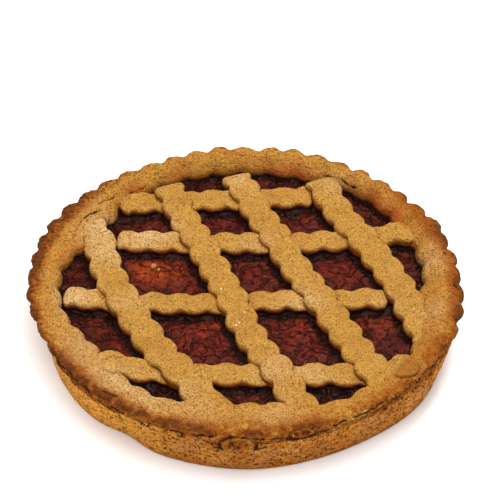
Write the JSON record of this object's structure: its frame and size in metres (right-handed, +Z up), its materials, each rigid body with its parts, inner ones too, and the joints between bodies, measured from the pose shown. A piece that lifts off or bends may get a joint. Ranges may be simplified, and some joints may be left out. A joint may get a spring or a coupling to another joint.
{
  "type": "blueberry jam tart",
  "caption": "Round open tart: a plain pastry case filled with dark jam, a lattice of fluted pastry strips and a fluted rim band.",
  "frame": {"origin": "centre of the case's flat underside", "axes": "+Z up out of the filling; -Y towards the side where the rim band is folded down over the wall; +X to its right"},
  "size_m": [0.2029, 0.2014, 0.0295],
  "materials": {
    "case_pastry": "porous baked shortcrust with small dark pits, matt",
    "rim_pastry": "baked shortcrust, golden with browned edges and fine brown specks, matt",
    "strip_pastry": "baked shortcrust, golden with fine brown specks, matt",
    "jam": "dark burgundy jam with a wrinkled glossy skin"
  },
  "bodies": {
    "root": {"crust_base": "case_pastry", "jam_filling": "jam", "rim_band": "rim_pastry", "lattice_under_1": "strip_pastry", "lattice_under_2": "strip_pastry", "lattice_under_3": "strip_pastry", "lattice_under_4": "strip_pastry", "lattice_over_1": "strip_pastry", "lattice_over_2": "strip_pastry", "lattice_over_3": "strip_pastry", "lattice_over_4": "strip_pastry"}
  },
  "joints": []
}
